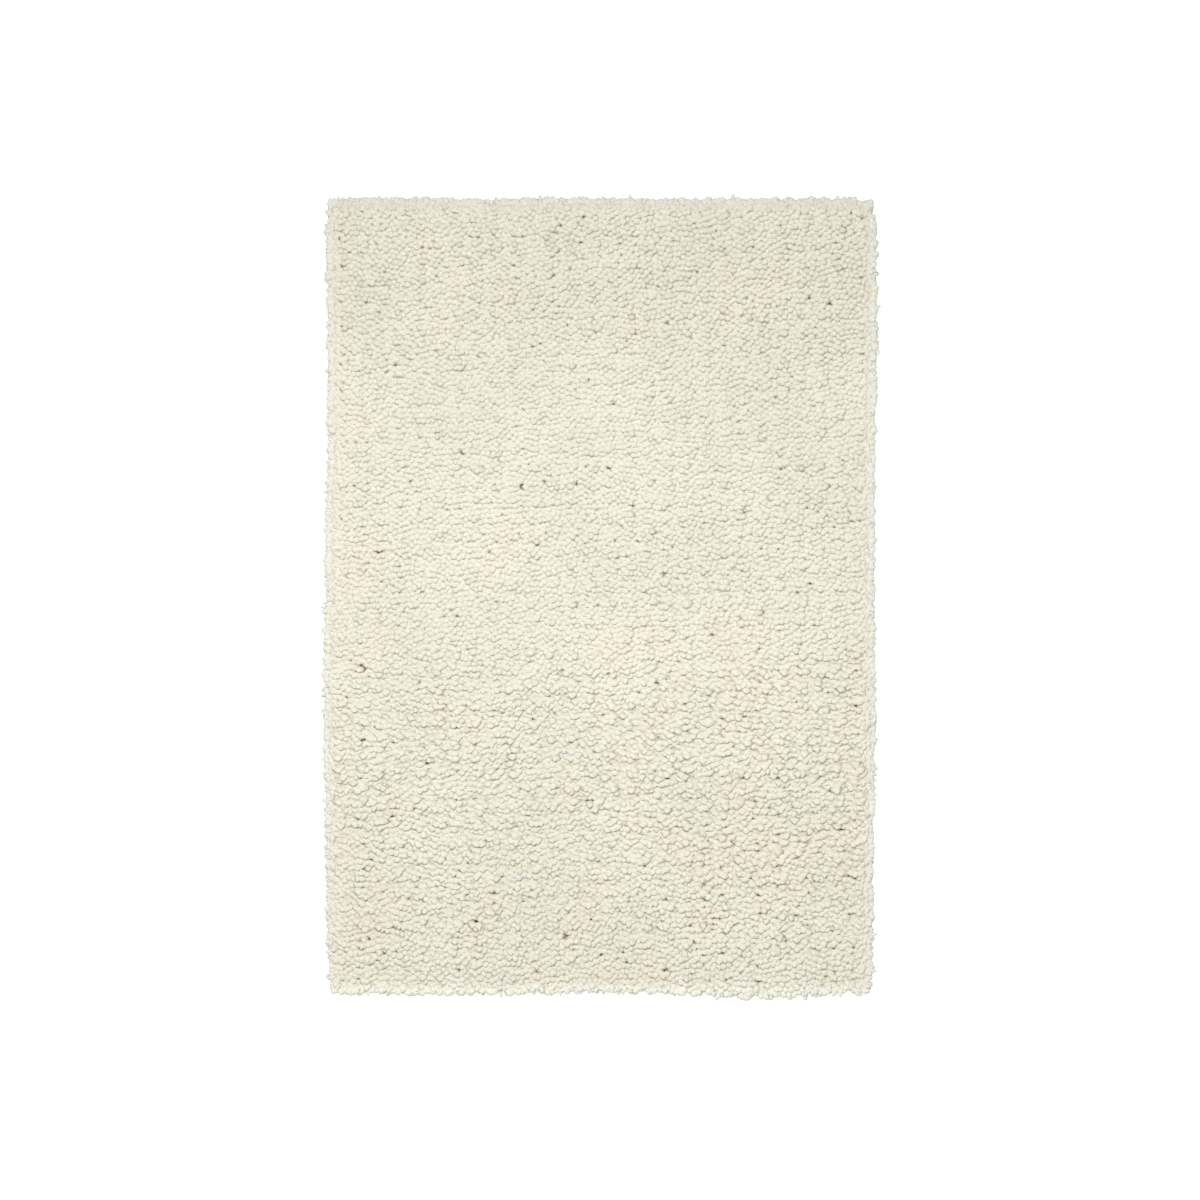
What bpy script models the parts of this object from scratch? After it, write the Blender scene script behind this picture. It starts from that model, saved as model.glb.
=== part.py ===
"""Cream shag rug: a rectangle of thick, soft yarn pile, lying flat on the floor.

Metres, +Z up. +X runs across the rug and +Y along it, and the pile leans towards -Y.
The origin is the middle of the underside, on the floor. The rug is one piece: its pile
stands as a lumpy slab, and at the rim the outer locks of yarn fall out to the floor.
"""

import math
import random
from collections import namedtuple

import bmesh
import bpy
from mathutils import Vector

# The rug as it is cut
BACKING_WIDTH = 1.330
BACKING_LENGTH = 1.950
ROOT_MARGIN = 0.004  # the slab ends this far past the backing, where the rim locks start

# The pile as a slab
PILE_HEIGHT = 0.0355  # from the floor to the mean top of a lump
RIM_HEIGHT = 0.024  # from the floor to the top of the slab at its rim
SHOULDER = 0.060  # the pile rises from the rim height to its full height over this distance
CORNER_RADIUS = 0.014  # of the slab, inside the locks

# Its lumps, each a cell of the slab's top with a raised middle
LUMPS_ACROSS = 28
LUMPS_ALONG = 46
LUMP_LEAN = 0.008  # a lump's top stands this far towards -Y from the middle of its cell
LUMP_VARIATION = 0.0025  # in the height of the lumps
LUMP_WANDER = 0.004  # of a lump's top, either way from its place
CREASE_WANDER = 0.005  # of the cells' corners, either way from their places
CREASE_STAGGER = 0.007  # every second line of corners is shifted by this, the next one back
CREASE_SHALLOWEST, CREASE_DEEPEST = 0.6, 1.2  # as shares of the depth in the table below
RIM_VARIATION = 0.002  # in the height of the rim

# The locks of yarn round the rim, two to each cell along an edge
LOCK_REACH = 0.018
LOCK_REACH_VARIATION = 0.007
LOCK_SWAY = 0.002  # of a lock's tip along the edge, either way
LOCK_WIDTH_VARIATION = 0.08  # as a share of its width
LOCK_FAN = 0.035  # within this distance of a corner the locks turn towards it

YARN_COLOUR = (0.791, 0.753, 0.617, 1.0)
YARN_ROUGHNESS = 0.95
YARN_SHEEN = 0.3
SMOOTH_ANGLE = math.radians(60)  # softer bends than this are shaded smooth

SEED = 7
PLACE_DIGITS = 4  # places are compared to a tenth of a millimetre

# How deep the creases between the lumps are, by the share of the length from the -Y end
Crease = namedtuple("Crease", "share depth")
CREASES = (
    Crease(share=0.00, depth=0.0090),
    Crease(share=0.15, depth=0.0115),
    Crease(share=0.35, depth=0.0120),
    Crease(share=0.60, depth=0.0095),
    Crease(share=1.00, depth=0.0085),
)

# How far the edges stray outwards from a true rectangle. A long side's share runs along it
# from its -Y end, and an end's share runs across from its -X corner.
LongSide = namedtuple("LongSide", "share left right")
LONG_SIDES = (
    LongSide(share=0.00, left=-0.008, right=-0.006),
    LongSide(share=0.15, left=0.001, right=-0.004),
    LongSide(share=0.35, left=0.006, right=0.001),
    LongSide(share=0.55, left=0.002, right=-0.002),
    LongSide(share=0.70, left=-0.005, right=0.000),
    LongSide(share=0.85, left=-0.002, right=0.006),
    LongSide(share=1.00, left=0.001, right=0.002),
)
End = namedtuple("End", "share low high")
ENDS = (
    End(share=0.00, low=-0.002, high=0.002),
    End(share=0.25, low=-0.001, high=-0.001),
    End(share=0.50, low=-0.006, high=0.000),
    End(share=0.62, low=-0.003, high=0.000),
    End(share=0.78, low=0.010, high=-0.002),
    End(share=1.00, low=-0.002, high=0.002),
)

# A lock's cross-sections: the share of its reach, and its width and height by its root's
Ring = namedtuple("Ring", "share width height")
LOCK_RINGS = (
    Ring(share=0.55, width=0.76, height=0.80),
    Ring(share=1.00, width=0.48, height=0.44),
)

HALF_WIDTH = BACKING_WIDTH / 2 + ROOT_MARGIN
HALF_LENGTH = BACKING_LENGTH / 2 + ROOT_MARGIN


def clear_scene():
    for thing in list(bpy.data.objects):
        bpy.data.objects.remove(thing, do_unlink=True)


def read_table(table, column, share):
    """The column's value at this share, easing from one row of the table to the next."""
    for low, high in zip(table, table[1:]):
        if share <= high.share:
            part = max(0.0, (share - low.share) / (high.share - low.share))
            ease = part * part * (3 - 2 * part)
            return getattr(low, column) * (1 - ease) + getattr(high, column) * ease
    return getattr(table[-1], column)


def rounded(x, y):
    """Moves a point of the plain rectangle so that the rectangle gets round corners."""
    core_x = max(-HALF_WIDTH + CORNER_RADIUS, min(HALF_WIDTH - CORNER_RADIUS, x))
    core_y = max(-HALF_LENGTH + CORNER_RADIUS, min(HALF_LENGTH - CORNER_RADIUS, y))
    out_x, out_y = x - core_x, y - core_y
    if out_x == 0 or out_y == 0:
        return x, y
    shrink = max(abs(out_x), abs(out_y)) / math.hypot(out_x, out_y)
    return core_x + out_x * shrink, core_y + out_y * shrink


def strayed(x, y):
    """Moves a point with the nearest edges, which stray from the rectangle."""
    along = (y / HALF_LENGTH + 1) / 2
    across = (x / HALF_WIDTH + 1) / 2
    side = read_table(LONG_SIDES, "left" if x < 0 else "right", along)
    end = read_table(ENDS, "low" if y < 0 else "high", across)
    return x * (1 + side / HALF_WIDTH), y * (1 + end / HALF_LENGTH)


def slab_height(x, y):
    """The height of the pile over a point of the plain rectangle, without lumps."""
    from_rim = min(HALF_WIDTH - abs(x), HALF_LENGTH - abs(y))
    share = max(0.0, min(1.0, from_rim / SHOULDER))
    return RIM_HEIGHT + (PILE_HEIGHT - RIM_HEIGHT) * (1 - (1 - share) ** 2)


def either_way(chance, most):
    return chance.uniform(-most, most)


def in_order(items):
    """Points or faces row by row from the -Y end, so that each run draws chance alike."""

    def place(item):
        spot = item.co if isinstance(item, bmesh.types.BMVert) else item.calc_center_median()
        return round(spot.y, PLACE_DIGITS), round(spot.x, PLACE_DIGITS)

    return sorted(items, key=place)


def place_rim(vert, chance):
    x, y = vert.co.x, vert.co.y
    z = slab_height(x, y) + either_way(chance, RIM_VARIATION)
    vert.co = (*strayed(*rounded(x, y)), z)


def place_crease(vert, chance):
    """Puts a corner that four lumps share down in the crease between them."""
    x, y = vert.co.x, vert.co.y
    row = round((y / HALF_LENGTH + 1) / 2 * LUMPS_ALONG)
    depth = read_table(CREASES, "depth", row / LUMPS_ALONG)
    z = slab_height(x, y) - depth * chance.uniform(CREASE_SHALLOWEST, CREASE_DEEPEST)
    x += CREASE_STAGGER * (1 if row % 2 else -1) + either_way(chance, CREASE_WANDER)
    y += either_way(chance, CREASE_WANDER)
    vert.co = (*strayed(*rounded(x, y)), z)


def place_lump(vert, chance):
    """Raises the middle of a cell to a lump's top, which leans towards -Y."""
    x, y = vert.co.x, vert.co.y
    z = slab_height(x, y) + either_way(chance, LUMP_VARIATION)
    x += either_way(chance, LUMP_WANDER)
    y += either_way(chance, LUMP_WANDER) - LUMP_LEAN
    vert.co = (*strayed(*rounded(x, y)), z)


def make_pile_top(bm, chance):
    """The slab's top: a grid whose cells are lumps, its outer edges halved for the locks."""
    bmesh.ops.create_grid(bm, x_segments=LUMPS_ACROSS, y_segments=LUMPS_ALONG, size=1)
    for vert in bm.verts:
        vert.co.x *= HALF_WIDTH
        vert.co.y *= HALF_LENGTH
    outer = [edge for edge in bm.edges if edge.is_boundary]
    bmesh.ops.subdivide_edges(bm, edges=outer, cuts=1)
    rim = [vert for vert in bm.verts if vert.is_boundary]
    creases = [vert for vert in bm.verts if not vert.is_boundary]
    lumps = bmesh.ops.poke(bm, faces=bm.faces[:])["verts"]
    for vert in in_order(rim):
        place_rim(vert, chance)
    for vert in in_order(creases):
        place_crease(vert, chance)
    for vert in in_order(lumps):
        place_lump(vert, chance)


def close_slab(bm):
    """Drops a wall from the rim to the floor and closes the flat underside."""
    rim = [edge for edge in bm.edges if edge.is_boundary]
    dropped = bmesh.ops.extrude_edge_only(bm, edges=rim)["geom"]
    for vert in (item for item in dropped if isinstance(item, bmesh.types.BMVert)):
        vert.co.z = 0
    wall = [item for item in dropped if isinstance(item, bmesh.types.BMFace)]
    foot = [edge for edge in bm.edges if edge.is_boundary]
    underside = bmesh.ops.edgeloop_fill(bm, edges=foot)["faces"]
    bmesh.ops.triangulate(bm, faces=underside, ngon_method="BEAUTY")
    return wall


def fan_direction(root):
    """Straight out from the edge, turning towards the corner near one."""
    core_x = max(-HALF_WIDTH + LOCK_FAN, min(HALF_WIDTH - LOCK_FAN, root.x))
    core_y = max(-HALF_LENGTH + LOCK_FAN, min(HALF_LENGTH - LOCK_FAN, root.y))
    return Vector((root.x - core_x, root.y - core_y, 0)).normalized()


def draw_out_lock(bm, wall, chance):
    """Draws a face of the wall out to a four-sided lock that rests level on the floor."""
    root = wall.calc_center_median()
    root_height = 2 * root.z
    root.z = 0
    outwards = fan_direction(root)
    along = Vector((-outwards.y, outwards.x, 0))
    root_width = max(abs((vert.co - root).dot(along)) for vert in wall.verts) * 2
    reach = LOCK_REACH + either_way(chance, LOCK_REACH_VARIATION)
    sway = either_way(chance, LOCK_SWAY)
    breadth = 1 + either_way(chance, LOCK_WIDTH_VARIATION)
    face = wall
    middle = root
    for ring in LOCK_RINGS:
        face = bmesh.ops.extrude_discrete_faces(bm, faces=[face])["faces"][0]
        before = middle
        middle = root + outwards * (reach * ring.share) + along * (sway * ring.share)
        for vert in face.verts:
            side = math.copysign(root_width * ring.width * breadth / 2, (vert.co - before).dot(along))
            height = root_height * ring.height if vert.co.z > 0 else 0
            vert.co = middle + along * side + Vector((0, 0, height))


def centre_on_origin(bm):
    """Moves the rug so that the origin is under the middle of its outer box."""
    for axis in (0, 1):
        places = [vert.co[axis] for vert in bm.verts]
        middle = (min(places) + max(places)) / 2
        for vert in bm.verts:
            vert.co[axis] -= middle


def make_yarn():
    yarn = bpy.data.materials.new("pile_yarn")
    yarn.use_nodes = True
    shader = yarn.node_tree.nodes["Principled BSDF"]
    shader.inputs["Base Color"].default_value = YARN_COLOUR
    shader.inputs["Roughness"].default_value = YARN_ROUGHNESS
    shader.inputs["Metallic"].default_value = 0.0
    shader.inputs["Sheen Weight"].default_value = YARN_SHEEN
    yarn.diffuse_color = YARN_COLOUR
    return yarn


def make_rug():
    chance = random.Random(SEED)
    bm = bmesh.new()
    make_pile_top(bm, chance)
    for wall in in_order(close_slab(bm)):
        draw_out_lock(bm, wall, chance)
    centre_on_origin(bm)
    bmesh.ops.recalc_face_normals(bm, faces=bm.faces[:])
    mesh = bpy.data.meshes.new("shag_rug")
    bm.to_mesh(mesh)
    bm.free()
    mesh.shade_smooth()
    mesh.set_sharp_from_angle(angle=SMOOTH_ANGLE)
    mesh.materials.append(make_yarn())
    rug = bpy.data.objects.new("shag_rug", mesh)
    bpy.context.scene.collection.objects.link(rug)


clear_scene()
make_rug()
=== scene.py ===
"""Cream shag rug, dressed: tufts of thick twisted yarn on a woven backing, seen from straight above.

Metres, +Z up, +X across the rug and +Y along it. The pile leans towards -Y and falls
outwards at the rim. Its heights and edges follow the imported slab.
"""

import math
from collections import namedtuple

import bpy
import numpy as np
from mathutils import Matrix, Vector
from mathutils.bvhtree import BVHTree


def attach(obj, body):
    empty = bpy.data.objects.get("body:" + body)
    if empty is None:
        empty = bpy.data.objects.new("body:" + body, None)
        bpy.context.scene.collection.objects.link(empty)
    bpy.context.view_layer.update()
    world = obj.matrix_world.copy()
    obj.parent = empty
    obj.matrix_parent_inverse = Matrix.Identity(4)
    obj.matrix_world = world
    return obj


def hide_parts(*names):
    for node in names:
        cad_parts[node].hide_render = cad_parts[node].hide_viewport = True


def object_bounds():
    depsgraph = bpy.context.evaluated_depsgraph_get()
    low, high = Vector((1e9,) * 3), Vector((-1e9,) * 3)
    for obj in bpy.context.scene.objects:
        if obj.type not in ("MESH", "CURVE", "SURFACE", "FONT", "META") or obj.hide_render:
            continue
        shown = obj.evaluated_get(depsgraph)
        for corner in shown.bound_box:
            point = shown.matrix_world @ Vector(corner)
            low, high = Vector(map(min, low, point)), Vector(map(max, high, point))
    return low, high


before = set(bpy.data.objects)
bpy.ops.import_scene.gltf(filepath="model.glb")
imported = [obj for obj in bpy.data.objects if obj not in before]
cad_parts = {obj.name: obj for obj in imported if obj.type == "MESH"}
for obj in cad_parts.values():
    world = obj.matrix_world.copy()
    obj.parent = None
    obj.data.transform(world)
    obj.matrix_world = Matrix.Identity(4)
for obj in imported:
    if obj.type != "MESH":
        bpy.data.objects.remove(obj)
cad_low, cad_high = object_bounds()

# The rug as it is cut
BACKING_WIDTH = 1.330
BACKING_LENGTH = 1.950
BACKING_THICKNESS = 0.0025
BACKING_CORNER = 0.012
CORNER_SEGMENTS = 8
WORN_WIDTH = BACKING_THICKNESS / 3
WORN_SEGMENTS = 2
BACKING_SMOOTH = math.radians(50)  # softer bends than this are shaded smooth
SLAB_MARGIN = 0.004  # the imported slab's rim stands this far outside the backing's edge
RIM_BAND = 0.045  # the slab's rim points lie within this distance of the outer box
RIM_LEVEL = 0.021  # and above this height

# Where the tufts stand
TUFT_ACROSS = 0.0126  # from one tuft's tip to the next, across the rug
TUFT_ALONG = 0.0134  # and along it
SHAKE = 0.72  # how far a tip strays from an even layout, as a share of that step
ROOM = 1.12  # tips closer than this share of a step are pushed apart
PUSH = 0.18  # by this share of what they lack, each time
PUSH_ROUNDS = 32
PUSH_REACH = 3  # from places up to this many away in the layout
LEAST_GAP = 1e-6  # two tips in one place count as this share of a step apart
NEAREST = 6  # a tip's room is its mean distance to this many others
ROOM_RANGE = (0.85, 1.40)  # and its tuft is stouter with more room, within this share
FIELD_OVERHANG = 0.0222  # the field's outermost tips, past the backing's edge
EDGE_STRAY = 0.0032  # which fall short of that or pass it by about this much
ROOT_INSET = 0.004  # and its outermost roots, inside it
ROOT_LEVEL = 0.0015
BANDS = 5

# How the field's tufts lie
FIELD_SINK = 0.0010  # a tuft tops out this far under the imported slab's surface
TUFT_GIRTH = 0.0086  # half its width where it leaves the backing
GIRTH_SPREAD = 0.08
ROOT_SPREAD = 0.0012
OUTWARD_BAND = 0.040  # within this distance of the outermost tips the pile turns outwards
OUTWARD_LEAN = 0.018
EDGE_UPTURN = math.radians(22)  # an outermost tuft sets off this much flatter and ends as much steeper
MOST_BEND = math.radians(105)  # from upright, at its tip
LOWEST_TIP = 0.012
SETTLE_ROUNDS = 4  # a tuft's height and slope depend on each other, so they are found in turns
TWIST = 0.55  # turns in a tuft's length
TWIST_SPREAD = 0.25
RUFFLE = 0.04  # how unevenly a tuft's sides bulge, as a share of its girth
CURL_SPREAD = 0.12  # radians that a tuft's bend swings sideways on its way up
SEED = 11

# Slow changes over the rug: how great they are, and over what distances
Drift = namedtuple("Drift", "most across along")
LEAN_DRIFT = Drift(most=0.20, across=0.11, along=0.07)  # as a share of the lean
SWING_DRIFT = Drift(most=0.30, across=0.16, along=0.12)  # in radians, as is the next
SWING_SHIVER = Drift(most=0.10, across=0.05, along=0.05)
DRIFT_SPAN = 4.0  # they cover a square this wide round the rug's middle

# How the tufts stand, by the share of the length from the -Y end: how far they lean towards
# -Y, how stout they are, how much wider than deep, how uneven their heights are, and how far
# they pull into clumps
Zone = namedtuple("Zone", "share lean stout wide uneven pull")
ZONES = (
    Zone(0.00, lean=0.010, stout=1.00, wide=1.08, uneven=0.0020, pull=0.08),
    Zone(0.10, lean=0.012, stout=0.92, wide=1.28, uneven=0.0024, pull=0.10),
    Zone(0.26, lean=0.013, stout=0.85, wide=1.60, uneven=0.0031, pull=0.13),
    Zone(0.36, lean=0.012, stout=0.86, wide=1.54, uneven=0.0029, pull=0.12),
    Zone(0.46, lean=0.009, stout=1.03, wide=1.12, uneven=0.0014, pull=0.06),
    Zone(0.58, lean=0.009, stout=1.00, wide=1.12, uneven=0.0018, pull=0.07),
    Zone(0.72, lean=0.008, stout=1.03, wide=1.10, uneven=0.0014, pull=0.05),
    Zone(0.88, lean=0.009, stout=0.97, wide=1.08, uneven=0.0020, pull=0.09),
    Zone(1.00, lean=0.008, stout=0.99, wide=1.05, uneven=0.0018, pull=0.06),
)
CLUMP_ACROSS = 0.046  # from one clump's middle to the next
CLUMP_ALONG = 0.031
CLUMP_SHAKE = 0.45  # of that middle, either way, as a share of the step
CLUMP_BATCH = 1000  # tufts are matched with their clumps this many at a time

# The rim's locks, from the lowest layer up: where they are rooted, how far apart, and how
# they bend, in degrees from upright at the root and at the tip
Layer = namedtuple("Layer", "inset pitch length root_bend tip_bend girth")
RIM_LAYERS = (
    Layer(inset=0.002, pitch=0.0080, length=0.0165, root_bend=70, tip_bend=98, girth=0.0064),
    Layer(inset=0.003, pitch=0.0080, length=0.0215, root_bend=44, tip_bend=98, girth=0.0064),
    Layer(inset=0.003, pitch=0.0080, length=0.0285, root_bend=22, tip_bend=92, girth=0.0062),
    Layer(inset=0.003, pitch=0.0100, length=0.0325, root_bend=32, tip_bend=92, girth=0.0050),
)
END_REACH = 0.10  # the rim's locks are longer at the -Y end and shorter at the other
END_SHIFT = 0.002  # and the field's tips stand this much further towards -Y
RIM_LENGTH_SPREAD = 0.0030
END_SPREAD = 0.45  # their lengths vary less at the -Y end and more at the other, by this share
RIM_BEND_SPREAD = math.radians(7)
RIM_SWING_SPREAD = 0.30
RIM_WIDE = 1.08
RIM_ROOT_SHAKE = 0.25  # of a lock's root, either way, as a share of its layer's pitch
CORNER_REACH = 0.16  # locks at a corner are longer by this share, which keeps it nearly square
FAN = 0.040  # within this distance of a corner the rim's locks turn towards it
FLOOR_CLEARANCE = 0.0003
FLAT_SPREAD = 0.0009  # a tuft lies flat on the floor or up to this much above it, on its neighbours

# Cross-sections of a tuft, from root to tip: the share of its length and of its girth. A
# tuft swells under its tip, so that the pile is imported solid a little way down.
Ring = namedtuple("Ring", "share girth")
TUFT_KINDS = {
    "plump": (Ring(0.00, 1.00), Ring(0.50, 1.54), Ring(0.70, 1.16), Ring(0.88, 0.68), Ring(1.00, 0.32)),
    "tapered": (Ring(0.00, 1.00), Ring(0.50, 1.54), Ring(0.68, 1.14), Ring(0.85, 0.60), Ring(1.00, 0.24)),
    "brushed": (Ring(0.00, 0.95), Ring(0.52, 1.52), Ring(0.72, 1.14), Ring(0.90, 0.72), Ring(1.00, 0.36)),
    "pinched": (Ring(0.00, 1.00), Ring(0.48, 1.54), Ring(0.66, 1.16), Ring(0.83, 0.66), Ring(1.00, 0.28)),
}
LOCK_KINDS = {
    "pointed": (Ring(0.00, 0.85), Ring(0.45, 1.20), Ring(0.76, 1.00), Ring(0.92, 0.66), Ring(1.00, 0.26)),
    "rounded": (Ring(0.00, 0.85), Ring(0.50, 1.20), Ring(0.80, 1.05), Ring(0.94, 0.78), Ring(1.00, 0.38)),
}
TUFT_SIDES, LOCK_SIDES = 5, 6
PLY_WIDE, PLY_NARROW = 1.06, 0.92  # two plies lie side by side, so a tuft is wider one way
SPREAD_DEEP = 0.88  # the pile's weight spreads a tuft wide and leaves it this deep

HALF_WIDTH = BACKING_WIDTH / 2
HALF_LENGTH = BACKING_LENGTH / 2
SLAB_HALF_WIDTH = HALF_WIDTH + SLAB_MARGIN
SLAB_HALF_LENGTH = HALF_LENGTH + SLAB_MARGIN
LEAST_LENGTH = 1e-9  # a way out that is shorter has no direction


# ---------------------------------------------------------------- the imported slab

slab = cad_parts["shag_rug"]


def read_points(mesh):
    points = np.empty(len(mesh.vertices) * 3, np.float32)
    mesh.vertices.foreach_get("co", points)
    return points.reshape(-1, 3).astype(float)


def read_edge_lines():
    """The four sides of the slab's rim as (places along the side, how far out it lies)."""
    points = read_points(slab.data)
    points = points[points[:, 2] > RIM_LEVEL]
    lines = {}
    for name, axis, end in (("left", 0, -1), ("right", 0, 1), ("low", 1, -1), ("high", 1, 1)):
        away = cad_high[axis] - points[:, axis] if end > 0 else points[:, axis] - cad_low[axis]
        side = points[away < RIM_BAND]
        side = side[np.argsort(side[:, 1 - axis])]
        lines[name] = side[:, 1 - axis], side[:, axis]
    return lines


edge_lines = read_edge_lines()
slab_tree = BVHTree.FromObject(slab, bpy.context.evaluated_depsgraph_get())


def on_rug(x, y):
    """Moves points of the plain rectangle with the slab's edges, which stray a little."""
    left, right = np.interp(y, *edge_lines["left"]), np.interp(y, *edge_lines["right"])
    low, high = np.interp(x, *edge_lines["low"]), np.interp(x, *edge_lines["high"])
    across = (x / SLAB_HALF_WIDTH + 1) / 2
    along = (y / SLAB_HALF_LENGTH + 1) / 2
    return left + (right - left) * across, low + (high - low) * along


def slab_top(x, y):
    """The height of the slab's surface over each point."""
    heights = []
    for spot in zip(x, y):
        hit = slab_tree.ray_cast(Vector((*spot, 1)), Vector((0, 0, -1)))[0]
        heights.append(hit.z if hit else 0)
    return np.array(heights)


# ---------------------------------------------------------------- one tuft of each kind


def make_object(name, mesh):
    piece = bpy.data.objects.new(name, mesh)
    bpy.context.scene.collection.objects.link(piece)
    return piece


def model_tuft(name, rings, sides):
    """An upright tuft one unit long and one unit in girth: a ring drawn up to a blunt tip."""
    bpy.ops.object.select_all(action="DESELECT")
    bpy.ops.mesh.primitive_circle_add(vertices=sides, radius=rings[0].girth, fill_type="NGON")
    tuft = bpy.context.object
    tuft.name = tuft.data.name = name
    bpy.ops.object.mode_set(mode="EDIT")
    bpy.ops.mesh.select_all(action="SELECT")
    bpy.ops.transform.resize(value=(PLY_WIDE, PLY_NARROW, 1), center_override=(0, 0, 0))
    for below, ring in zip(rings, rings[1:]):
        rise = {"value": (0, 0, ring.share - below.share)}
        bpy.ops.mesh.extrude_region_move(TRANSFORM_OT_translate=rise)
        spread = ring.girth / below.girth
        bpy.ops.transform.resize(value=(spread, spread, 1), center_override=(0, 0, ring.share))
    bpy.ops.mesh.select_all(action="SELECT")
    bpy.ops.mesh.normals_make_consistent(inside=False)
    bpy.ops.object.mode_set(mode="OBJECT")
    return tuft


Pattern = namedtuple("Pattern", "points corners starts around along map_u map_v")
CAP_SHARE = 0.07  # of a tuft's cell in the bake map, at each end
CAP_HEIGHT = 0.45  # half the cap's height there, as a share of that, which keeps it off the wall
CAP_UPRIGHT = 0.99  # a face whose normal is more upright than this is a cap
CELL_MARGIN = 0.06  # round a cell, so that no colour bleeds in from the next
ROUNDING = 1e-6


def read_pattern(tuft):
    """A tuft's points and faces, and for each face corner its place round and along the yarn."""
    mesh = tuft.data
    points = read_points(mesh)
    corners, starts, around, along, map_u, map_v = [], [], [], [], [], []
    for face in mesh.polygons:
        starts.append(len(corners))
        middle = points[list(face.vertices)].mean(0)
        cap = abs(face.normal.z) > CAP_UPRIGHT
        facing = math.atan2(middle[1], middle[0])
        for index in face.vertices:
            x, y, z = points[index]
            turn = math.atan2(y, x)
            if not cap:
                turn = facing + (turn - facing + math.pi) % (2 * math.pi) - math.pi
            corners.append(index)
            around.append(turn / (2 * math.pi))
            along.append(z)
            if cap:
                cap_low = 0 if middle[2] < 0.5 else 1 - CAP_SHARE
                map_u.append(0.5 + 0.5 * math.cos(turn))
                map_v.append(cap_low + CAP_SHARE * (0.5 + CAP_HEIGHT * math.sin(turn)))
            else:
                map_u.append(turn / (2 * math.pi))
                map_v.append(CAP_SHARE + (1 - 2 * CAP_SHARE) * z)
    map_u, map_v = np.array(map_u), np.array(map_v)
    wall = np.abs(map_v - 0.5) <= 0.5 - CAP_SHARE + ROUNDING
    low, high = map_u[wall].min(), map_u[wall].max()
    map_u[wall] = (map_u[wall] - low) / (high - low)
    arrays = [np.array(values) for values in (corners, starts, around, along)]
    bpy.data.objects.remove(tuft)
    return Pattern(points, *arrays, map_u, map_v)


# ---------------------------------------------------------------- how tufts bend and lie

BEND_STEPS = 24
Tufts = namedtuple("Tufts", "x y swing curl root_bend tip_bend length girth wide twist spin tone")


def bend_tufts(pattern, tufts, chance):
    """The pattern's points once for each tuft, twisted, bent over and set on its root."""
    count = len(tufts.x)
    step = np.linspace(0, 1, BEND_STEPS + 1)
    bend = tufts.root_bend[:, None] + (tufts.tip_bend - tufts.root_bend)[:, None] * step
    swing = tufts.swing[:, None] + tufts.curl[:, None] * step
    heading = np.stack(
        [np.sin(bend) * np.cos(swing), np.sin(bend) * np.sin(swing), np.cos(bend)], axis=-1
    )
    between = (heading[:, 1:] + heading[:, :-1]) / 2
    line = np.concatenate([np.zeros((count, 1, 3)), np.cumsum(between, axis=1)], axis=1)
    line *= tufts.length[:, None, None] / BEND_STEPS
    place = np.clip(pattern.points[:, 2], 0, 1) * BEND_STEPS
    floor = np.minimum(place.astype(int), BEND_STEPS - 1)
    part = (place - floor)[None, :, None]
    centre = line[:, floor] * (1 - part) + line[:, floor + 1] * part
    bend, swing = [
        values[:, floor] * (1 - part[..., 0]) + values[:, floor + 1] * part[..., 0]
        for values in (bend, swing)
    ]
    turn = tufts.spin[:, None] + tufts.twist[:, None] * pattern.points[None, :, 2]
    wide = np.cos(turn) * pattern.points[:, 0] - np.sin(turn) * pattern.points[:, 1]
    deep = np.sin(turn) * pattern.points[:, 0] + np.cos(turn) * pattern.points[:, 1]
    fore = np.stack([np.cos(bend) * np.cos(swing), np.cos(bend) * np.sin(swing), -np.sin(bend)], -1)
    side = np.stack([-np.sin(swing), np.cos(swing), np.zeros_like(swing)], -1)
    girth = tufts.girth[:, None, None] * (1 + chance.normal(0, RUFFLE, turn.shape)[..., None])
    points = centre - girth * (SPREAD_DEEP * deep[..., None] * fore)
    points += girth * tufts.wide[:, None, None] * wide[..., None] * side
    points += np.stack([tufts.x, tufts.y, np.full(count, ROOT_LEVEL)], -1)[:, None]
    lowest = FLOOR_CLEARANCE + FLAT_SPREAD * tufts.tone
    points[..., 2] = np.maximum(points[..., 2], lowest[:, None])
    return points


def pick(tufts, which):
    return Tufts(*[values[which] for values in tufts])


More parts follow.
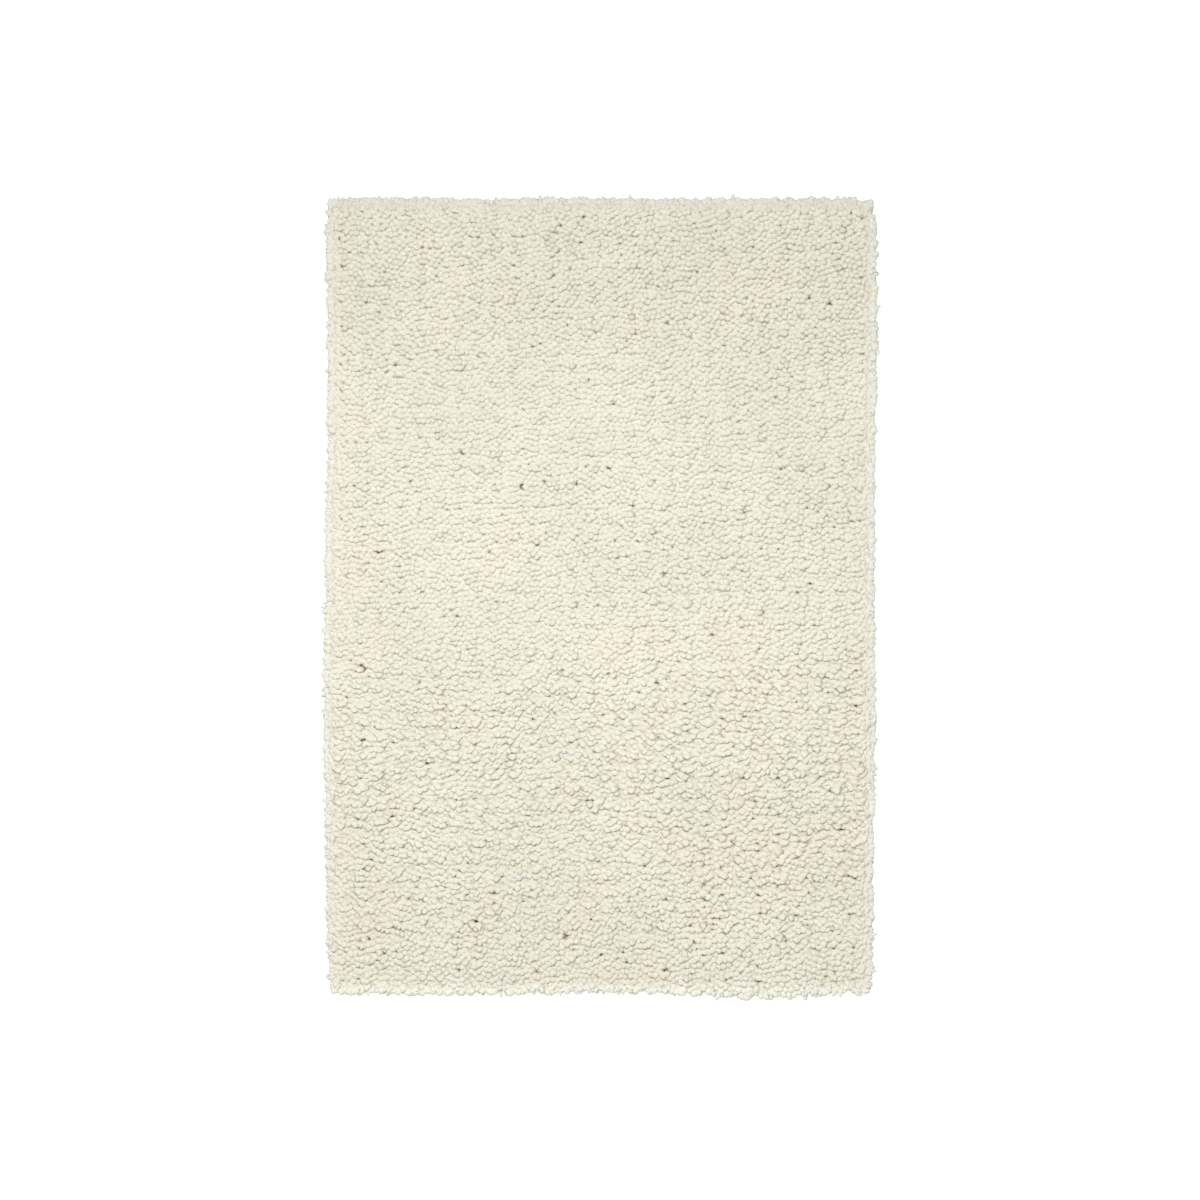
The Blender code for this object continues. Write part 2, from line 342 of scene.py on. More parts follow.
def join_tufts(name, patterns, tufts, chance):
    """One mesh of all these tufts, each a bent copy of a pattern, with its place in the map."""
    kinds = chance.integers(0, len(patterns), len(tufts.x))
    points, corners, starts, strand, bake = [], [], [], [], []
    points_before = corners_before = cells_before = 0
    columns = math.ceil(math.sqrt(len(tufts.x)))
    for kind, pattern in enumerate(patterns):
        chosen = pick(tufts, kinds == kind)
        count = len(chosen.x)
        copies = np.arange(count)[:, None]
        points.append(bend_tufts(pattern, chosen, chance).reshape(-1, 3))
        corners.append((pattern.corners + len(pattern.points) * copies + points_before).ravel())
        starts.append((pattern.starts + len(pattern.corners) * copies + corners_before).ravel())
        tone = np.repeat(chosen.tone, len(pattern.corners))
        around, along = np.tile(pattern.around, count), np.tile(pattern.along, count)
        strand.append(np.stack([around, along, tone], -1))
        cell = copies + cells_before
        inside = 1 - 2 * CELL_MARGIN
        bake_u = (cell % columns + CELL_MARGIN + inside * pattern.map_u) / columns
        bake_v = (cell // columns + CELL_MARGIN + inside * pattern.map_v) / columns
        bake.append(np.stack([bake_u.ravel(), bake_v.ravel()], -1))
        points_before += len(pattern.points) * count
        corners_before += len(pattern.corners) * count
        cells_before += count
    mesh = bpy.data.meshes.new(name)
    points, corners, starts = [np.concatenate(parts) for parts in (points, corners, starts)]
    mesh.vertices.add(len(points))
    mesh.loops.add(len(corners))
    mesh.polygons.add(len(starts))
    mesh.vertices.foreach_set("co", points.astype(np.float32).ravel())
    mesh.loops.foreach_set("vertex_index", corners.astype(np.int32))
    mesh.polygons.foreach_set("loop_start", starts.astype(np.int32))
    mesh.update(calc_edges=True)
    mesh.attributes.new("strand", "FLOAT_VECTOR", "CORNER").data.foreach_set(
        "vector", np.concatenate(strand).astype(np.float32).ravel()
    )
    mesh.uv_layers.new(name="OFBake").uv.foreach_set(
        "vector", np.concatenate(bake).astype(np.float32).ravel()
    )
    mesh.shade_smooth()
    return make_object(name, mesh)


# ---------------------------------------------------------------- the field of the pile


def eased(part):
    """From 0 to 1 as the part goes, but slow to start and to end."""
    return part * part * (3 - 2 * part)


def read_table(table, column, share):
    """The column's value at each share, easing from one row of the table to the next."""
    shares = np.array([row.share for row in table])
    values = np.array([getattr(row, column) for row in table])
    above = np.clip(np.searchsorted(shares, share), 1, len(table) - 1)
    part = np.clip((share - shares[above - 1]) / (shares[above] - shares[above - 1]), 0, 1)
    ease = eased(part)
    return values[above - 1] * (1 - ease) + values[above] * ease


def soft_noise(x, y, drift, chance):
    """Smooth chance values over the rug, which change over the drift's distances."""
    size = [int(DRIFT_SPAN / step) + 3 for step in (drift.across, drift.along)]
    table = chance.uniform(-1, 1, size)
    column, row = (x + DRIFT_SPAN / 2) / drift.across, (y + DRIFT_SPAN / 2) / drift.along
    left, low = column.astype(int), row.astype(int)
    part_x, part_y = eased(column - left), eased(row - low)
    lower = table[left, low] * (1 - part_x) + table[left + 1, low] * part_x
    upper = table[left, low + 1] * (1 - part_x) + table[left + 1, low + 1] * part_x
    return drift.most * (lower * (1 - part_y) + upper * part_y)


def outward(x, y):
    """The way out of the rug from points near its edges, turning towards a near corner."""
    core_x = np.clip(x, FAN - HALF_WIDTH, HALF_WIDTH - FAN)
    core_y = np.clip(y, FAN - HALF_LENGTH, HALF_LENGTH - FAN)
    way = np.stack([x - core_x, y - core_y], -1)
    length = np.linalg.norm(way, axis=1, keepdims=True)
    return way / np.maximum(length, LEAST_LENGTH)


def staggered_grid(across, along):
    """Places one step apart, with every second row half a step over."""
    column, row = np.meshgrid(np.arange(across + 1.0), np.arange(along + 1.0))
    return np.stack([column + 0.5 * (row % 2) - 0.25, row], -1)


def clump_offset(x, y, chance):
    """From each point to the middle of the clump that its tuft leans into."""
    middles = staggered_grid(int(2 * HALF_WIDTH / CLUMP_ACROSS), int(2 * HALF_LENGTH / CLUMP_ALONG))
    middles += chance.uniform(-CLUMP_SHAKE, CLUMP_SHAKE, middles.shape)
    step = np.array([CLUMP_ACROSS, CLUMP_ALONG])
    middles = middles.reshape(-1, 2) * step - (HALF_WIDTH, HALF_LENGTH)
    offsets = np.empty((len(x), 2))
    for start in range(0, len(x), CLUMP_BATCH):
        part = slice(start, start + CLUMP_BATCH)
        gap = middles[None] - np.stack([x[part], y[part]], -1)[:, None]
        far = ((gap / step) ** 2).sum(-1)
        offsets[part] = gap[np.arange(len(gap)), far.argmin(1)]
    return offsets


def scatter_tips(half_x, half_y, chance):
    """Places spread evenly but in no pattern, and the room that each has beside the usual.

    They are a staggered grid, shaken and then pushed apart.
    """
    across, along = round(2 * half_x / TUFT_ACROSS), round(2 * half_y / TUFT_ALONG)
    place = staggered_grid(across, along)
    place += chance.normal(0, SHAKE, place.shape)
    reach = range(-PUSH_REACH, PUSH_REACH + 1)
    neighbours = [(up, over) for up in reach for over in reach if up or over]
    for _ in range(PUSH_ROUNDS):
        push = np.zeros_like(place)
        for shift in neighbours:
            gap = place - np.roll(place, shift, (0, 1))
            distance = np.maximum(np.linalg.norm(gap, axis=-1, keepdims=True), LEAST_GAP)
            push += gap / distance * np.maximum(0, ROOM - distance)
        place = np.clip(place + PUSH * push, 0, (across, along))
    gaps = [np.linalg.norm(place - np.roll(place, shift, (0, 1)), axis=-1) for shift in neighbours]
    room = np.sort(gaps, axis=0)[:NEAREST].mean(0)
    x, y = (place / (across, along) * 2 - 1).reshape(-1, 2).T
    return x * half_x, y * half_y, (room / np.median(room)).ravel()


def turn_and_tone(count, chance):
    """How each tuft is twisted along its length, turned on its root, and toned."""
    return {
        "twist": 2 * math.pi * (TWIST + chance.normal(0, TWIST_SPREAD, count)),
        "spin": chance.uniform(0, 2 * math.pi, count),
        "tone": chance.uniform(0, 1, count),
    }


def lay_field(chance):
    """Tufts across the whole field, their tips evenly spaced and their roots behind them."""
    half_x, half_y = HALF_WIDTH + FIELD_OVERHANG, HALF_LENGTH + FIELD_OVERHANG
    x, y, room = scatter_tips(half_x, half_y, chance)
    y -= END_SHIFT
    share = np.clip((y / HALF_LENGTH + 1) / 2, 0, 1)
    lean = read_table(ZONES, "lean", share) * (1 + soft_noise(x, y, LEAN_DRIFT, chance))
    swing = soft_noise(x, y, SWING_DRIFT, chance) + soft_noise(x, y, SWING_SHIVER, chance)
    tip = np.stack([lean * np.sin(swing), -lean * np.cos(swing)], -1)
    tip += chance.normal(0, ROOT_SPREAD, tip.shape)
    from_edge = np.minimum(half_x - np.abs(x), half_y - np.abs(y))
    turned = eased(np.clip(1 - from_edge / OUTWARD_BAND, 0, 1))[:, None]
    way = outward(x, y)
    tip = tip * (1 - turned) + way * OUTWARD_LEAN * turned

    pull = (1 - turned) * read_table(ZONES, "pull", share)[:, None]
    shift = pull * clump_offset(x, y, chance)
    shift += way * chance.normal(0, EDGE_STRAY, (len(x), 1)) * turned ** 3
    tip_x, tip_y = on_rug(x + shift[:, 0], y + shift[:, 1])
    root_x, root_y = on_rug(
        np.clip(x - tip[:, 0], ROOT_INSET - HALF_WIDTH, HALF_WIDTH - ROOT_INSET),
        np.clip(y - tip[:, 1], ROOT_INSET - HALF_LENGTH, HALF_LENGTH - ROOT_INSET),
    )
    reach_x, reach_y = tip_x - root_x, tip_y - root_y
    top = slab_top(*on_rug(np.clip(x, -HALF_WIDTH, HALF_WIDTH), np.clip(y, -HALF_LENGTH, HALF_LENGTH)))
    top -= FIELD_SINK
    top += chance.normal(0, 1, len(x)) * read_table(ZONES, "uneven", share)
    girth = TUFT_GIRTH * read_table(ZONES, "stout", share) * np.clip(room, *ROOM_RANGE)
    girth *= 1 + chance.normal(0, GIRTH_SPREAD, len(x))
    reach = np.hypot(reach_x, reach_y)
    rise = np.maximum(top, LOWEST_TIP) - ROOT_LEVEL
    for _ in range(SETTLE_ROUNDS):
        slope = np.minimum(np.arctan2(reach, rise), MOST_BEND / 2)
        half = slope * (1 - turned[:, 0]) - EDGE_UPTURN * turned[:, 0]
        sink = girth * SPREAD_DEEP * np.sin(np.maximum(slope + half, 0))
        rise = np.maximum(top - sink, LOWEST_TIP) - ROOT_LEVEL
    length = np.hypot(reach, rise) / np.sinc(half / math.pi)
    count = len(x)
    return Tufts(
        x=root_x,
        y=root_y,
        swing=np.arctan2(reach_y, reach_x),
        curl=chance.normal(0, CURL_SPREAD, count),
        root_bend=slope - half,
        tip_bend=slope + half,
        length=length,
        girth=girth,
        wide=read_table(ZONES, "wide", share),
        **turn_and_tone(count, chance),
    )


def walk_round(inset, pitch):
    """Places round the backing, this far inside its edge and about this far apart."""
    half_x, half_y = HALF_WIDTH - inset, HALF_LENGTH - inset
    corner = max(BACKING_CORNER - inset, 0.0)
    corners = np.array([(-1, -1), (1, -1), (1, 1), (-1, 1)]) * (half_x, half_y)
    x, y = [], []
    for start, end in zip(corners, np.roll(corners, -1, axis=0)):
        count = round(np.linalg.norm(end - start) / pitch)
        places = start + (end - start) * (np.arange(count) / count)[:, None]
        x.append(places[:, 0])
        y.append(places[:, 1])
    x, y = np.concatenate(x), np.concatenate(y)
    core_x = np.clip(x, corner - half_x, half_x - corner)
    core_y = np.clip(y, corner - half_y, half_y - corner)
    out = np.stack([x - core_x, y - core_y], -1)
    far = np.linalg.norm(out, axis=1)
    squared = np.abs(out).max(1) / np.maximum(far, LEAST_LENGTH)
    shrink = np.where(far > LEAST_LENGTH, squared, 1)
    return core_x + out[:, 0] * shrink, core_y + out[:, 1] * shrink


def lay_rim(chance):
    """The rim's locks in layers under the field's edge, each falling over the one below."""
    layers = []
    for layer in RIM_LAYERS:
        x, y = walk_round(layer.inset, layer.pitch)
        count = len(x)
        way = outward(x, y)
        longer = 1 + CORNER_REACH * 2 * np.abs(way[:, 0] * way[:, 1]) - END_REACH * way[:, 1]
        uneven = 1 + END_SPREAD * way[:, 1]
        swing = np.arctan2(way[:, 1], way[:, 0]) + chance.normal(0, RIM_SWING_SPREAD, count)
        x += chance.uniform(-RIM_ROOT_SHAKE, RIM_ROOT_SHAKE, count) * layer.pitch
        y += chance.uniform(-RIM_ROOT_SHAKE, RIM_ROOT_SHAKE, count) * layer.pitch
        x, y = on_rug(x, y)
        root_bend = math.radians(layer.root_bend) + chance.normal(0, RIM_BEND_SPREAD, count)
        tip_bend = math.radians(layer.tip_bend) + chance.normal(0, RIM_BEND_SPREAD, count)
        layers.append(Tufts(
            x=x,
            y=y,
            swing=swing,
            curl=chance.normal(0, CURL_SPREAD, count),
            root_bend=root_bend,
            tip_bend=tip_bend,
            length=layer.length * longer + chance.normal(0, RIM_LENGTH_SPREAD, count) * uneven,
            girth=layer.girth * (1 + chance.normal(0, GIRTH_SPREAD, count)),
            wide=np.full(count, RIM_WIDE),
            **turn_and_tone(count, chance),
        ))
    return Tufts(*[np.concatenate(columns) for columns in zip(*layers)])


# ---------------------------------------------------------------- the backing


def make_backing():
    """The woven ground that the tufts are rooted in: cut out, given its thickness, edges worn."""
    bpy.ops.object.select_all(action="DESELECT")
    bpy.ops.mesh.primitive_plane_add(size=1)
    backing = bpy.context.object
    backing.name = backing.data.name = "woven_backing"
    bpy.ops.object.mode_set(mode="EDIT")
    bpy.ops.mesh.select_all(action="SELECT")
    size = (BACKING_WIDTH, BACKING_LENGTH, 1)
    bpy.ops.transform.resize(value=size, center_override=(0, 0, 0))
    bpy.ops.mesh.bevel(offset=BACKING_CORNER, segments=CORNER_SEGMENTS, affect="VERTICES")
    bpy.ops.mesh.select_all(action="SELECT")
    thickness = {"value": (0, 0, BACKING_THICKNESS)}
    bpy.ops.mesh.extrude_region_move(TRANSFORM_OT_translate=thickness)
    bpy.ops.mesh.select_all(action="SELECT")
    bpy.ops.mesh.normals_make_consistent(inside=False)
    bpy.ops.object.mode_set(mode="OBJECT")
    worn = backing.modifiers.new("worn_edge", "BEVEL")
    worn.width = WORN_WIDTH
    worn.segments = WORN_SEGMENTS
    worn.limit_method = "ANGLE"
    bpy.ops.object.modifier_apply(modifier=worn.name)
    bpy.ops.object.shade_smooth_by_angle(angle=BACKING_SMOOTH)
    return backing


# ---------------------------------------------------------------- materials


class Nodes:
    """Adds nodes to a tree and joins them up; a value in place of a socket is set on it."""

    def __init__(self, tree):
        self.tree = tree

    def put(self, socket, value):
        if isinstance(value, bpy.types.NodeSocket):
            self.tree.links.new(value, socket)
        elif isinstance(value, tuple) and len(value) == 3 and socket.type == "RGBA":
            socket.default_value = (*value, 1)
        else:
            socket.default_value = value

    def math(self, operation, first, second=0.0, third=0.0, clamp=False):
        node = self.tree.nodes.new("ShaderNodeMath")
        node.operation = operation
        node.use_clamp = clamp
        for socket, value in zip(node.inputs, (first, second, third)):
            self.put(socket, value)
        return node.outputs[0]

    def ramp(self, value, low, high, to_low=0.0, to_high=1.0):
        node = self.tree.nodes.new("ShaderNodeMapRange")
        node.interpolation_type = "SMOOTHSTEP"
        for name, number in (
            ("Value", value), ("From Min", low), ("From Max", high),
            ("To Min", to_low), ("To Max", to_high),
        ):
            self.put(node.inputs[name], number)
        return node.outputs["Result"]

    def mix(self, share, first, second, how="MIX"):
        node = self.tree.nodes.new("ShaderNodeMix")
        node.data_type = "RGBA"
        node.blend_type = how
        self.put(node.inputs[0], share)
        self.put(node.inputs[6], first)
        self.put(node.inputs[7], second)
        return node.outputs[2]

    def noise(self, place, scale, detail=2.0, roughness=0.5):
        node = self.tree.nodes.new("ShaderNodeTexNoise")
        self.put(node.inputs["Vector"], place)
        self.put(node.inputs["Scale"], scale)
        self.put(node.inputs["Detail"], detail)
        self.put(node.inputs["Roughness"], roughness)
        return node.outputs["Fac"]

    def split(self, vector):
        node = self.tree.nodes.new("ShaderNodeSeparateXYZ")
        self.put(node.inputs[0], vector)
        return node.outputs

    def join(self, x, y, z):
        node = self.tree.nodes.new("ShaderNodeCombineXYZ")
        for socket, value in zip(node.inputs, (x, y, z)):
            self.put(socket, value)
        return node.outputs[0]

    def shaded(self, colour, shade):
        """The colour, lighter or darker by this factor."""
        return self.mix(1.0, colour, self.join(shade, shade, shade), "MULTIPLY")

    def bump(self, height, strength, distance):
        node = self.tree.nodes.new("ShaderNodeBump")
        self.put(node.inputs["Height"], height)
        node.inputs["Strength"].default_value = strength
        node.inputs["Distance"].default_value = distance
        return node.outputs["Normal"]

    def group(self, made, **values):
        node = self.tree.nodes.new("ShaderNodeGroup")
        node.node_tree = made
        for name, value in values.items():
            self.put(node.inputs[name], value)
        return node.outputs


def new_group(name, inputs, outputs):
    tree = bpy.data.node_groups.new(name, "ShaderNodeTree")
    for socket, kind, value in inputs:
        made = tree.interface.new_socket(socket, in_out="INPUT", socket_type=kind)
        made.default_value = value
    for socket, kind in outputs:
        tree.interface.new_socket(socket, in_out="OUTPUT", socket_type=kind)
    return tree, tree.nodes.new("NodeGroupInput").outputs, tree.nodes.new("NodeGroupOutput").inputs


TONE_STEP = 37.0  # sets tufts of different tone far apart in the noise
WAVER_ALONG = 1.6  # how fast the fibres' waver changes along a tuft, beside round it
WAVER_SCALE = 2.2
FUZZ_SCALE = 260.0
FUZZ_RELIEF, LOBE_RELIEF, FIBRE_RELIEF = 1.6, 0.9, 0.4  # their parts in the yarn's relief
GROOVE_LEVEL = 0.30  # the groove between two plies starts this far up their lobes


def make_fibre_group():
    """Fine fibres that wind along a yarn, with fuzz over them."""
    tree, given, result = new_group(
        "yarn_fibres",
        (
            ("Around", "NodeSocketFloat", 0.0), ("Along", "NodeSocketFloat", 0.0),
            ("Tone", "NodeSocketFloat", 0.5), ("Place", "NodeSocketVector", (0, 0, 0)),
            ("Fibres", "NodeSocketFloat", 12.0), ("Waver", "NodeSocketFloat", 4.0),
            ("Lay", "NodeSocketFloat", 1.6),
        ),
        (("Fibre", "NodeSocketFloat"), ("Fuzz", "NodeSocketFloat"), ("Groove", "NodeSocketFloat")),
    )
    nodes = Nodes(tree)
    angle = nodes.math("MULTIPLY", given["Around"], 2 * math.pi)
    seed = nodes.math("MULTIPLY", given["Tone"], TONE_STEP)
    round_yarn = nodes.join(
        nodes.math("COSINE", angle), nodes.math("SINE", angle),
        nodes.math("MULTIPLY_ADD", given["Along"], WAVER_ALONG, seed),
    )
    waver = nodes.noise(round_yarn, WAVER_SCALE, 1.0)
    straight = nodes.math("MULTIPLY", angle, given["Fibres"])
    wound = nodes.math("MULTIPLY_ADD", waver, given["Waver"], straight)
    ridge = nodes.math("MULTIPLY_ADD", nodes.math("SINE", wound), 0.5, 0.5)
    fuzz = nodes.noise(given["Place"], FUZZ_SCALE, 3.0, 0.6)
    turns = nodes.math("MULTIPLY", given["Lay"], 2 * math.pi)
    ply = nodes.math("ADD", nodes.math("MULTIPLY_ADD", given["Along"], turns, angle), waver)
    lobe = nodes.math("POWER", nodes.math("SINE", ply), 2.0)
    nodes.put(result["Groove"], nodes.ramp(lobe, GROOVE_LEVEL, 0.0))
    relief = nodes.math("MULTIPLY", ridge, FIBRE_RELIEF)
    relief = nodes.math("MULTIPLY_ADD", lobe, LOBE_RELIEF, relief)
    relief = nodes.math("MULTIPLY_ADD", nodes.math("SUBTRACT", fuzz, 0.5), FUZZ_RELIEF, relief)
    nodes.put(result["Fibre"], relief)
    nodes.put(result["Fuzz"], fuzz)
    return tree


PATCH_SCALE = 4.0
PATCH_DYE, TUFT_DYE = 0.3, 0.5  # the most warm or cool yarn in a patch and in a single tuft
SHADE_SCALE = 3.0
SHADE_RANGE = (0.98, 1.02)
RIM_LIGHT_BLEND = (-0.012, 0.018)  # from the backing's edge, where the rim's colour takes over as painted light

# Light from the photo that is kept in the yarn: how dark or light it is at the rug's ends
FAR_END_SHADE = 0.975
FAR_RIM_SHADE = 0.94
NEAR_RIM_SHADE = 1.09
FAR_END_BLEND = (0.5 * HALF_LENGTH, HALF_LENGTH)  # and between which y each comes in
FAR_RIM_BLEND = (HALF_LENGTH - 0.020, HALF_LENGTH + 0.015)
NEAR_RIM_BLEND = (-HALF_LENGTH + 0.018, -HALF_LENGTH - 0.012)


def make_dye_and_light_group():
    """Slow changes of colour over the rug, as in undyed yarn from several fleeces, with painted light and
    shade: a greyer, paler rim, darker towards the +Y end and its rim, and lighter at the -Y rim.
    """
    tree, given, result = new_group(
        "fleece_mottle_and_painted_light",
        (
            ("Colour", "NodeSocketColor", (1, 1, 1, 1)), ("Warm", "NodeSocketColor", (1, 1, 1, 1)),
            ("Cool", "NodeSocketColor", (1, 1, 1, 1)), ("Rim", "NodeSocketColor", (1, 1, 1, 1)),
            ("Place", "NodeSocketVector", (0, 0, 0)), ("Tone", "NodeSocketFloat", 0.5),
        ),
        (("Colour", "NodeSocketColor"),),
    )
    nodes = Nodes(tree)
    patches = nodes.noise(given["Place"], PATCH_SCALE, 2.0)
    warm = nodes.math("MULTIPLY", nodes.ramp(patches, 0.50, 0.68), PATCH_DYE)
    cool = nodes.math("MULTIPLY", nodes.ramp(patches, 0.50, 0.32), PATCH_DYE)
    warm = nodes.math("ADD", warm, nodes.ramp(given["Tone"], 0.60, 1.0, 0.0, TUFT_DYE), clamp=True)
    cool = nodes.math("ADD", cool, nodes.ramp(given["Tone"], 0.40, 0.0, 0.0, TUFT_DYE), clamp=True)
    colour = nodes.mix(warm, given["Colour"], given["Warm"])
    colour = nodes.mix(cool, colour, given["Cool"])
    slow = nodes.noise(given["Place"], SHADE_SCALE, 1.0)
    colour = nodes.shaded(colour, nodes.ramp(slow, 0.32, 0.68, *SHADE_RANGE))
    x, y = nodes.split(given["Place"])[:2]
    past_x = nodes.math("SUBTRACT", nodes.math("ABSOLUTE", x), HALF_WIDTH)
    past_y = nodes.math("SUBTRACT", nodes.math("ABSOLUTE", y), HALF_LENGTH)
    # Painted light: near the edge the yarn takes its greyer, paler rim colour, standing in for the glow
    # of the pale floor round the rug
    rim_light_share = nodes.ramp(nodes.math("MAXIMUM", past_x, past_y), *RIM_LIGHT_BLEND)
    colour = nodes.mix(rim_light_share, colour, given["Rim"])
    far_end = nodes.ramp(y, *FAR_END_BLEND, 1.0, FAR_END_SHADE)
    far_rim = nodes.ramp(y, *FAR_RIM_BLEND, 1.0, FAR_RIM_SHADE)
    near_rim = nodes.ramp(y, *NEAR_RIM_BLEND, 1.0, NEAR_RIM_SHADE)
    shade = nodes.math("MULTIPLY", nodes.math("MULTIPLY", far_end, far_rim), near_rim)
    nodes.put(result["Colour"], nodes.shaded(colour, shade))
    return tree


def new_material(name):
    material = bpy.data.materials.new(name)
    material.use_nodes = True
    return material, material.node_tree.nodes["Principled BSDF"]


def place_on_object(nodes):
    return nodes.tree.nodes.new("ShaderNodeTexCoord").outputs["Object"]


# A yarn's rim colour is greyer than its body, and paler on the locks: painted light from the pale floor
# round the rug
Yarn = namedtuple("Yarn", "name body warm cool root tip rim")
# A yarn's root colour is browner and darker than its body: painted shade for the creases deep in the pile
PILE_YARN = Yarn(
    name="pile_yarn", body=(0.79, 0.776, 0.677), warm=(0.81, 0.768, 0.660), cool=(0.78, 0.780, 0.688),
    root=(0.72, 0.650, 0.500), tip=(0.835, 0.822, 0.722), rim=(0.77, 0.775, 0.698),
)
RIM_YARN = Yarn(
    name="rim_yarn", body=(0.78, 0.776, 0.690), warm=(0.79, 0.772, 0.675), cool=(0.77, 0.778, 0.698),
    root=(0.77, 0.745, 0.635), tip=(0.82, 0.822, 0.752), rim=(0.80, 0.806, 0.742),
)
SHEEN_TINT = (1.0, 0.93, 0.80, 1)
SHEEN_WEIGHT = 0.25
SHEEN_ROUGHNESS = 0.6
YARN_SPECULAR = 0.25
YARN_BUMP, YARN_RELIEF = 0.8, 0.0009
YARN_ROUGHNESS = (0.86, 1.0)
FUZZ_SHADE = (0.95, 1.03)
GROOVE_PAINTED_SHADE = 0.93
ROOT_SHADE_BLEND = (0.74, 0.44)  # shares of a tuft's length, where the root's browner, darker colour comes in as painted shade
TIP_BLEND = (0.84, 1.0)  # and where the tip's does
TIP_STRENGTH = 0.5


def make_yarn(yarn, fibres, mottle_and_light):
    """Twisted yarn, paler at its tip, with painted shade that makes it browner and darker towards its
    root and in the groove between its plies.
    """
    material, shader = new_material(yarn.name)
    nodes = Nodes(material.node_tree)
    place = place_on_object(nodes)
    strand = nodes.tree.nodes.new("ShaderNodeAttribute")
    strand.attribute_name = "strand"
    around, along, tone = nodes.split(strand.outputs["Vector"])
    fibre, fuzz, groove = nodes.group(fibres, Around=around, Along=along, Tone=tone, Place=place)[:3]
    dyes_and_rim_light = {"Colour": yarn.body, "Warm": yarn.warm, "Cool": yarn.cool, "Rim": yarn.rim}
    body = nodes.group(mottle_and_light, Place=place, Tone=tone, **dyes_and_rim_light)["Colour"]
    # Painted shade: browner and darker towards the root, down in the creases
    colour = nodes.mix(nodes.ramp(along, *ROOT_SHADE_BLEND), body, yarn.root)
    colour = nodes.mix(nodes.ramp(along, *TIP_BLEND, 0.0, TIP_STRENGTH), colour, yarn.tip)
    in_fuzz = nodes.ramp(fuzz, 0.30, 0.70, *FUZZ_SHADE)
    # Painted shade: darker in the groove between the two plies
    groove_painted_shade = nodes.ramp(groove, 0.0, 1.0, 1.0, GROOVE_PAINTED_SHADE)
    colour = nodes.shaded(colour, nodes.math("MULTIPLY", in_fuzz, groove_painted_shade))
    nodes.put(shader.inputs["Base Color"], colour)
    nodes.put(shader.inputs["Roughness"], nodes.ramp(fuzz, 0.25, 0.75, *YARN_ROUGHNESS))
    nodes.put(shader.inputs["Normal"], nodes.bump(fibre, YARN_BUMP, YARN_RELIEF))
    shader.inputs["Sheen Weight"].default_value = SHEEN_WEIGHT
    shader.inputs["Sheen Roughness"].default_value = SHEEN_ROUGHNESS
    shader.inputs["Sheen Tint"].default_value = SHEEN_TINT
    shader.inputs["Specular IOR Level"].default_value = YARN_SPECULAR
    return material


WEAVE_PITCH = 0.0036
WEAVE_HOLLOW_SHADE = (0.46, 0.405, 0.30)
WEAVE_RIDGE = (0.61, 0.55, 0.425)
WEAVE_STAIN = (0.55, 0.47, 0.34)
WEAVE_ROUGHNESS = (0.82, 0.96)
WEAVE_BUMP, WEAVE_RELIEF = 0.7, 0.0008
WEAVE_FUZZ_SCALE = 700.0
WEAVE_PATCH_SCALE = 14.0


def make_backing_weave():
    """A plain weave of undyed cotton: warp and weft ridges that pass over each other, with painted shade
    in the hollows between them.
    """
    material, shader = new_material("backing_weave")
    nodes = Nodes(material.node_tree)
    place = place_on_object(nodes)
    x, y = nodes.split(place)[:2]
    turns = math.pi / WEAVE_PITCH
    warp = nodes.math("SINE", nodes.math("MULTIPLY", x, turns))
    weft = nodes.math("SINE", nodes.math("MULTIPLY", y, turns))
    over = nodes.math("MULTIPLY", warp, weft)
    fuzz = nodes.noise(place, WEAVE_FUZZ_SCALE, 2.0, 0.6)
    height = nodes.math("MULTIPLY_ADD", over, 0.5, nodes.math("MULTIPLY", fuzz, 0.5))
    patches = nodes.noise(place, WEAVE_PATCH_SCALE, 2.0)
    # Painted shade: the weave is darker in its hollows than on its ridges
    colour = nodes.mix(nodes.ramp(over, -0.8, 0.6), WEAVE_HOLLOW_SHADE, WEAVE_RIDGE)
    colour = nodes.mix(nodes.ramp(patches, 0.45, 0.70, 0.0, 0.35), colour, WEAVE_STAIN)
    nodes.put(shader.inputs["Base Color"], colour)
    nodes.put(shader.inputs["Roughness"], nodes.ramp(fuzz, 0.3, 0.7, *WEAVE_ROUGHNESS))
    nodes.put(shader.inputs["Normal"], nodes.bump(height, WEAVE_BUMP, WEAVE_RELIEF))
    return material


# ---------------------------------------------------------------- the rug

chance = np.random.default_rng(SEED)
tuft_patterns = [
    read_pattern(model_tuft(name, rings, TUFT_SIDES)) for name, rings in TUFT_KINDS.items()
]
lock_patterns = [
    read_pattern(model_tuft(name, rings, LOCK_SIDES)) for name, rings in LOCK_KINDS.items()
]
fibres, mottle_and_light = make_fibre_group(), make_dye_and_light_group()
pile_yarn, rim_yarn = make_yarn(PILE_YARN, fibres, mottle_and_light), make_yarn(RIM_YARN, fibres, mottle_and_light)

field = lay_field(chance)
field_low, field_high = field.y.min(), field.y.max()
band_place = (field.y - field_low) / (field_high - field_low) * BANDS
band_of = np.minimum(band_place.astype(int), BANDS - 1)
pile = []
for band in range(BANDS):
    chosen = pick(field, band_of == band)
    piece = join_tufts(f"pile_band_{band + 1}", tuft_patterns, chosen, chance)
    piece.data.materials.append(pile_yarn)
    pile.append(piece)
rim = join_tufts("rim_locks", lock_patterns, lay_rim(chance), chance)
rim.data.materials.append(rim_yarn)
pile.append(rim)

backing = make_backing()
backing.data.materials.append(make_backing_weave())

for piece in [*pile, backing]:
    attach(piece, "root")
    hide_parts("shag_rug")


# ---------------------------------------------------------------- floor, light and camera

